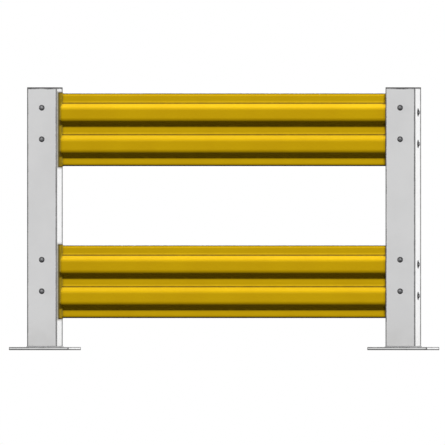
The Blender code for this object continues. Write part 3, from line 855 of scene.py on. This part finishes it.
def shade_under_ridges(tree, spot):
    """Share of painted shade in the corner under each ridge, where the rail meets its end plate, on the front
    only.

    The painted shade lies a little below the middle of the nearest ridge, and is thinner at the plate's front
    edge.
    """
    _, deep, up = parts_of(tree, spot)
    fall = reckon(tree, "MULTIPLY", from_nearer(tree, above_rail(tree, up), RIDGE_PITCH / 2), -1.0)
    starts = ramp(tree, fall, UNDER_RIDGE_TOP - UNDER_RIDGE_FADE, UNDER_RIDGE_TOP)
    ends = ramp(tree, fall, UNDER_RIDGE_FOOT, UNDER_RIDGE_FOOT + UNDER_RIDGE_FADE * 2, first=1.0, last=0.0)
    edge = end_low.y + UNDER_RIDGE_EDGE
    inwards = ramp(tree, deep, end_low.y, edge, UNDER_RIDGE_EDGE_SHARE, UNDER_RIDGE_SHARE)
    in_front = ramp(tree, deep, 0.0, UNDER_RIDGE_DEPTH, first=1.0, last=0.0)
    across = reckon(tree, "MULTIPLY", inwards, in_front)
    return reckon(tree, "MULTIPLY", reckon(tree, "MULTIPLY", starts, ends), across)


plate_yellow, tree, shader, spot = start_finish("end_plate_coat", specular=0.03)
_, _, up = parts_of(tree, spot)
end_box = (0, end_middle.y, RAILS_MIDDLE), (end_middle.x, 0, RAIL_OFFSET), end_half
worn = edge_distance(tree, spot, *end_box)
from_tip = reckon(tree, "SUBTRACT", end_half.z, reckon(tree, "ABSOLUTE", above_rail(tree, up)))
# The plate's colour is painted darker than the rail's, as shade.
coat = tint(tree, patchy(tree, spot, scale=30.0, detail=4.0), SHADED_PLATE_YELLOW, SHADED_PLATE_GRIME)
coat = tint(tree, rubbed_edge(tree, spot, worn, END_PLATE_RUB), coat, THIN_YELLOW)
# Grime along each plate's top, and painted shade along its bottom.
coat = tint(tree, rubbed_edge(tree, spot, from_tip, END_PLATE_GRIME_AND_SHADE), coat, SHADE_AND_GRIME)
# Painted shade under each ridge.
coat = tint(tree, shade_under_ridges(tree, spot), coat, SHADE_AND_GRIME)
tree.links.new(coat, shader.inputs["Base Color"])
coat_roughness(tree, shader, spot, low=0.42, high=0.55)
raise_grain(tree, shader, spot, grains=380.0, depth=0.0001)
for rail in ("lower", "upper"):
    for side, _ in POST_SIDES:
        set_finish(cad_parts[rail + "_" + side + "_end_plate"], plate_yellow)


# Rail end welds
# A small fillet weld joins each face of the rail's sheet to its end plate, under a coat that is thin and
# grimy on the ripples, with painted shade under the ridges.
END_WELD_LEG = 0.0032
END_WELD_STEP = 0.0008
END_WELD_SEED = 11
END_WELD_DARK = (0.1, 0.07, 0.006)
END_WELD_YELLOW = (0.22, 0.15, 0.008)

end_weld_coat, tree, shader, spot = start_finish("end_weld_coat", specular=0.05)
coat = tint(tree, patchy(tree, spot, scale=240.0, detail=3.0), END_WELD_DARK, END_WELD_YELLOW)
# Painted shade under each ridge, as on the end plates.
coat = tint(tree, shade_under_ridges(tree, spot), coat, SHADE_AND_GRIME)
tree.links.new(coat, shader.inputs["Base Color"])
coat_roughness(tree, shader, spot, low=0.42, high=0.55)
raise_grain(tree, shader, spot, grains=900.0, depth=0.0001)


def end_weld_mesh(name, face, away, end_x, centre):
    """A bead along one face of the sheet, at even steps, closed at both ends. Away points off that face."""
    travel = travelled(face)
    even = np.arange(0, travel[-1], END_WELD_STEP)
    path = np.column_stack([np.interp(even, travel, face[:, axis]) for axis in (0, 1)])
    off = np.column_stack([np.interp(even, travel, away[:, axis]) for axis in (0, 1)])
    places = np.column_stack([np.full(len(even), end_x), path]) + (0, 0, centre)
    out = np.column_stack([np.zeros(len(even)), off])
    inwards = np.zeros_like(out) - (math.copysign(1, end_x), 0, 0)
    bead = fillet_bead(places, out, inwards, even, END_WELD_LEG, seed=END_WELD_SEED)
    caps = [(bead[row][None], np.arange(bead.shape[1])[None]) for row in (0, -1)]
    return solid_mesh(name, [(bead, joined_rows(bead)), *caps], smooth_angle=60)


front_path, _, back_path, _ = rail_outline(section)
forwards = (front_path - back_path) / SHEET
for rail, centre in (("lower", LOWER_CENTRE), ("upper", UPPER_CENTRE)):
    for side, sign in POST_SIDES:
        for face, path, away in (("front", front_path, forwards), ("back", back_path, -forwards)):
            name = rail + "_" + side + "_" + face + "_end_weld"
            mesh = end_weld_mesh(name, path, away, sign * RAIL_LENGTH / 2, centre)
            add_piece(name, mesh, end_weld_coat, "rail_coat")


# Bolts
# Half-inch carriage bolts with domed heads. A square neck under the head sits in a square hole, and the
# shank's end is threaded for the nut. Dark plated steel, with painted shade round the head's rim.
HEAD_HEIGHT = 0.0076
HEAD_RIM = 0.0014
RIM_ROUND = 0.0005
RIM_START = 0.35
UNDERSIDE_ROUND = 0.0003
SHANK_RADIUS = 0.00635
NECK_HALF = 0.0066
NECK_CORNER = 0.0008
NECK_LENGTH = 0.00476
NECK_TAPER = 0.0008
BOLT_POINT = 0.0012
THREAD_PITCH = 0.001954
THREAD_DEPTH = 0.0009
THREAD_LENGTH = 0.023
THREAD_ROWS = 8
ROUND_STEPS = 48
DOME_ROWS = 15
RIM_ROWS = 5
# Painted shade on the outer part of each head's dome.
RIM_SHADE_START = 0.5
RIM_SHADE_FULL = 0.85
STEEL = (0.078, 0.078, 0.081)
STEEL_WORN = (0.14, 0.14, 0.144)
STEEL_SHADE = (0.018, 0.018, 0.019)


def head_rings():
    """Radius and height of the head's rings: a part of a sphere, then a short round rim."""
    rise = HEAD_HEIGHT - HEAD_RIM
    dome = (HEAD_RADIUS**2 + rise**2) / (2 * rise)
    swell = np.linspace(0.0, math.asin((HEAD_RADIUS - RIM_ROUND) / dome), DOME_ROWS)[1:]
    rim_turn = np.linspace(RIM_START, np.pi / 2, RIM_ROWS)
    radius = np.concatenate([
        dome * np.sin(swell),
        HEAD_RADIUS - RIM_ROUND + RIM_ROUND * np.sin(rim_turn),
        [HEAD_RADIUS, HEAD_RADIUS - UNDERSIDE_ROUND],
    ])
    height = np.concatenate([
        HEAD_HEIGHT - dome * (1 - np.cos(swell)),
        HEAD_RIM - RIM_ROUND + RIM_ROUND * np.cos(rim_turn),
        [UNDERSIDE_ROUND, 0.0],
    ])
    return radius[:, None], height[:, None]


def thread_rings(turn, length):
    """Radius and height of the threaded end's rings.

    The radius falls by a triangle wave of height / pitch less the turn, which is a helix, and by a cone at
    the tip.
    """
    plain_end = length - THREAD_LENGTH
    rows = int(THREAD_LENGTH / THREAD_PITCH * THREAD_ROWS)
    down = np.linspace(plain_end, length, rows)[1:, None] * np.ones(ROUND_STEPS)
    phase = (down / THREAD_PITCH - turn / (2 * np.pi)) % 1.0
    groove = 1 - np.abs(2 * phase - 1)
    run_in = np.clip((down - plain_end) / (2 * THREAD_PITCH), 0, 1)
    thread = SHANK_RADIUS - THREAD_DEPTH * groove * run_in
    point = SHANK_RADIUS - np.clip(down - (length - BOLT_POINT), 0, None)
    return np.minimum(thread, point), -down


def bolt_surface(length):
    """A bolt about its own axis, as rows of rings from the top of its dome to its tip.

    The neck's ring is a square, whose radius is its half width over the larger of |cos| and |sin| of the
    turn, and its corners are rounded by a circle. The shank's ring is a plain circle.
    """
    turn = np.linspace(0, 2 * np.pi, ROUND_STEPS, endpoint=False)
    ones = np.ones(ROUND_STEPS)
    square = 1 / np.maximum(np.abs(np.cos(turn)), np.abs(np.sin(turn)))
    neck = np.minimum(NECK_HALF * square, NECK_HALF * math.sqrt(2) - NECK_CORNER)
    shank = SHANK_RADIUS * ones
    stops = np.array([0.0, NECK_LENGTH - NECK_TAPER, NECK_LENGTH, length - THREAD_LENGTH])
    head_radius, head_height = head_rings()
    thread_radius, thread_height = thread_rings(turn, length)
    radius = np.vstack([head_radius * ones, neck, neck, shank, shank, thread_radius])
    height = np.vstack([head_height * ones, -stops[:, None] * ones, thread_height])
    points = np.stack([radius * np.cos(turn), radius * np.sin(turn), height], axis=-1)
    top = np.zeros((1, ROUND_STEPS, 3)) + (0, 0, HEAD_HEIGHT)
    tip = np.zeros((1, ROUND_STEPS, 3)) + (0, 0, -length)
    return np.concatenate([top, points, tip])


def set_facing(points, seat, outward):
    """Points in a fastener's own frame, set on their seat with the fastener's axis pointing outward."""
    side = np.array([0.0, 0.0, 1.0])
    third = np.cross(outward, side)
    return seat + points[..., :1] * side + points[..., 1:2] * third + points[..., 2:] * outward


def measured(node, outward):
    """A CAD fastener's middle, half its length, half its width, and its outward direction."""
    low, high = (np.array(corner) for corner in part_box(node))
    outward = np.array(outward, float)
    return (low + high) / 2, abs((high - low) @ outward) / 2, (high[2] - low[2]) / 2, outward


def bolt_mesh(name, points, middle, outward):
    """The bolt's mesh. Each point keeps its distance from the axis over the head's radius, for the painted
    shade.
    """
    mesh = solid_mesh(name, [(points, joined_rows(points))], smooth_angle=38)
    away = points_of(mesh) - middle
    away = away - (away @ outward)[:, None] * outward
    keep_on_points(mesh, "rim", np.linalg.norm(away, axis=1) / HEAD_RADIUS)
    return mesh


bolt_steel, tree, shader, spot = start_finish("bolt_steel", specular=0.5, metallic=0.75)
steel = tint(tree, patchy(tree, spot, scale=160.0, detail=3.0, soft=0.15), STEEL, STEEL_WORN)
# Painted shade on the outer part of each head's dome.
shade_at_rim = ramp(tree, kept_on_points(tree, "rim"), RIM_SHADE_START, RIM_SHADE_FULL)
steel = tint(tree, shade_at_rim, steel, STEEL_SHADE)
tree.links.new(steel, shader.inputs["Base Color"])
tree.links.new(patchy(tree, spot, scale=300.0, first=0.38, last=0.55), shader.inputs["Roughness"])
raise_grain(tree, shader, spot, grains=1400.0, depth=0.00005)

SPOTS = ("lower_low", "lower_high", "upper_low", "upper_high")
for side, sign in POST_SIDES:
    for place in SPOTS:
        for kind, outward in (("rail", (sign, 0, 0)), ("cross", (0, -1, 0))):
            node = side + "_" + place + "_" + kind + "_bolt"
            middle, half_length, _, outward = measured(node, outward)
            seat = middle + outward * (half_length - HEAD_HEIGHT)
            points = set_facing(bolt_surface(2 * half_length - HEAD_HEIGHT), seat, outward)
            mesh = bolt_mesh(node + "_forged", points, middle, outward)
            add_piece(node + "_forged", mesh, bolt_steel, "bolt_steel", node)


# Nuts
# Half-inch flange nuts, cold forged from dark plated steel like the bolts, with the hexagon's corners
# chamfered on top, and a smooth bore that the bolt's thread fills.
NUT_ACROSS_FLATS = 0.01905
NUT_HEIGHT = 0.0118
NUT_CHAMFER = 0.0016
NUT_TOP_SHARE = 0.97
NUT_FLANGE = 0.0024
FLANGE_RIM = 0.0012
FLANGE_ROUND = 0.0003
FLANGE_EDGE = 0.0002
FILLET_FOOT = 0.0006
FILLET_TOP = 0.001
FILLET_SPREAD = 0.0005
BORE_RADIUS = 0.00655
BORE_CHAMFER = 0.0007
FACETS_ON_A_FLAT = 12
NUT_RIM_PLACE = 0.4


def nut_surface(flange_radius):
    """A nut about its own axis, as rows of rings up the bore, over the top and down to the flange's foot.

    The hexagon's radius is its half width over the cosine of the turn from the nearest flat. Its chamfer is a
    cone, so each side's top edge is where that radius meets the cone.
    """
    turn = np.linspace(0, 2 * np.pi, 6 * FACETS_ON_A_FLAT, endpoint=False)
    from_flat = (turn + np.pi / 6) % (np.pi / 3) - np.pi / 6
    flats = NUT_ACROSS_FLATS / 2
    top_radius = flats * NUT_TOP_SHARE
    hexagon = flats / np.cos(from_flat)
    slope = NUT_CHAMFER / (NUT_ACROSS_FLATS / math.sqrt(3) - top_radius)
    rim_top = NUT_FLANGE - FLANGE_RIM
    rings = [
        (BORE_RADIUS + BORE_CHAMFER, 0.0),
        (BORE_RADIUS, BORE_CHAMFER),
        (BORE_RADIUS, NUT_HEIGHT - BORE_CHAMFER),
        (BORE_RADIUS + BORE_CHAMFER, NUT_HEIGHT),
        (top_radius, NUT_HEIGHT),
        (hexagon, NUT_HEIGHT - (hexagon - top_radius) * slope),
        (hexagon, NUT_FLANGE + FILLET_TOP),
        (hexagon + FILLET_SPREAD, NUT_FLANGE + FILLET_FOOT),
        (flange_radius - FLANGE_RIM, NUT_FLANGE),
        (flange_radius - FLANGE_EDGE, rim_top + FLANGE_ROUND),
        (flange_radius, rim_top),
        (flange_radius, FLANGE_ROUND),
        (flange_radius - FLANGE_ROUND, 0.0),
    ]
    ones = np.ones(len(turn))
    radius = np.array([ring[0] * ones for ring in rings])
    height = np.array([ring[1] * ones for ring in rings])
    return np.stack([radius * np.cos(turn), radius * np.sin(turn), height], axis=-1)


for side, sign in POST_SIDES:
    for place in SPOTS:
        for kind, outward in (("rail", (-sign, 0, 0)), ("cross", (0, 1, 0))):
            node = side + "_" + place + "_" + kind + "_nut"
            middle, half_length, half_width, outward = measured(node, outward)
            points = set_facing(nut_surface(half_width), middle - outward * half_length, outward)
            surface = points, joined_rows(points, closed_rows=True)
            mesh = solid_mesh(node + "_forged", [surface], smooth_angle=38)
            # The nuts' rim value lies below where the painted shade starts, so they take none.
            keep_on_points(mesh, "rim", np.full(len(mesh.vertices), NUT_RIM_PLACE))
            add_piece(node + "_forged", mesh, bolt_steel, "bolt_steel", node)


# Floor, lamps and camera
# A plain pale floor a hair below the plates, under an even sky. The front and the posts' right sides are lit
# without shadows, and softer lamps from above, the left and behind leave a soft shadow on the floor.
FLOOR_HALF = 14.0
FLOOR_GAP = 0.0002
SKY = 0.4
FLOOR_PALE = (0.97, 0.97, 0.97)
FLOOR_BOUNCE = (0.012, 0.012, 0.012)
FRONT_LAMPS = {8: 0.05, 30: 0.78, 100: 0.78}
OVER_LEAN = math.sin(math.radians(10))
OVER_LEVEL = 0.28
RIGHT_LEVEL = 1.22
LEFT_LEVEL = 0.6
BEHIND_LEVEL = 0.75
LAMP_DISTANCE = 4.0


def seen_directly(tree):
    """1 for what the camera, a gloss or a glass sees, and 0 for light that falls on the object."""
    path = tree.nodes.new("ShaderNodeLightPath")
    seen = reckon(tree, "ADD", path.outputs["Is Camera Ray"], path.outputs["Is Glossy Ray"])
    return reckon(tree, "ADD", seen, path.outputs["Is Transmission Ray"])


floor_mesh = bpy.data.meshes.new("floor")
floor_turns = ((-1, -1), (1, -1), (1, 1), (-1, 1))
floor_corners = [(x * FLOOR_HALF, y * FLOOR_HALF, -FLOOR_GAP) for x, y in floor_turns]
floor_mesh.from_pydata(floor_corners, [], [(0, 1, 2, 3)])
floor = bpy.data.objects.new("floor", floor_mesh)
bpy.context.scene.collection.objects.link(floor)
floor_finish, tree, shader, spot = start_finish("floor_finish", specular=0.0)
shader.inputs["Roughness"].default_value = 0.9
tree.links.new(tint(tree, seen_directly(tree), FLOOR_BOUNCE, FLOOR_PALE), shader.inputs["Base Color"])
floor_mesh.materials.append(floor_finish)
all_but_floor = bpy.data.collections.new("all_but_floor")
all_but_floor.objects.link(floor)
all_but_floor.collection_objects[0].light_linking.link_state = "EXCLUDE"


def add_lamp(name, towards, level, spread, shadow):
    """A far lamp in that direction; at level 1 a face turned to it shows its colour as written.

    A lamp without shadows leaves the floor out, so that the floor keeps the object's shadow.
    """
    light = bpy.data.lights.new(name, "SUN")
    light.energy = level * math.pi
    light.angle = math.radians(spread)
    light.use_shadow = shadow
    lamp = bpy.data.objects.new(name, light)
    bpy.context.scene.collection.objects.link(lamp)
    lamp.rotation_mode = "QUATERNION"
    lamp.rotation_quaternion = Vector(towards).to_track_quat("Z", "Y")
    lamp.location = Vector(towards).normalized() * LAMP_DISTANCE
    if not shadow:
        lamp.light_linking.receiver_collection = all_but_floor


for elevation, level in FRONT_LAMPS.items():
    rise = math.radians(elevation)
    add_lamp("front_" + str(elevation), (0, -math.cos(rise), math.sin(rise)), level, spread=12, shadow=False)
add_lamp("over", (0, OVER_LEAN, 1), OVER_LEVEL, spread=16, shadow=True)
add_lamp("right", (1, 0, 0), RIGHT_LEVEL, spread=4, shadow=False)
add_lamp("left", (-1, 0, 0.2), LEFT_LEVEL, spread=30, shadow=True)
add_lamp("behind", (-0.25, 1, 0.35), BEHIND_LEVEL, spread=30, shadow=True)

world = bpy.data.worlds.new("white_room")
bpy.context.scene.world = world
world.use_nodes = True
tree = world.node_tree
background = tree.nodes["Background"]
background.inputs["Color"].default_value = (1, 1, 1, 1)
strength = reckon(tree, "ADD", reckon(tree, "MULTIPLY", seen_directly(tree), 1 - SKY), SKY)
tree.links.new(strength, background.inputs["Strength"])

AZIMUTH = math.radians(12.2)
VIEW_WIDTH = 1.865
ASIDE = -0.0067
VIEW_CENTRE = 0.5348
CAMERA_DISTANCE = 4.0
camera_data = bpy.data.cameras.new("camera")
camera_data.type = "ORTHO"
camera_data.ortho_scale = VIEW_WIDTH
camera = bpy.data.objects.new("camera", camera_data)
bpy.context.scene.collection.objects.link(camera)
camera.location = (
    math.cos(AZIMUTH) * ASIDE + math.sin(AZIMUTH) * CAMERA_DISTANCE,
    math.sin(AZIMUTH) * ASIDE - math.cos(AZIMUTH) * CAMERA_DISTANCE,
    VIEW_CENTRE,
)
camera.rotation_euler = (math.pi / 2, 0, AZIMUTH)
bpy.context.scene.camera = camera
bpy.context.scene.view_settings.view_transform = "Standard"
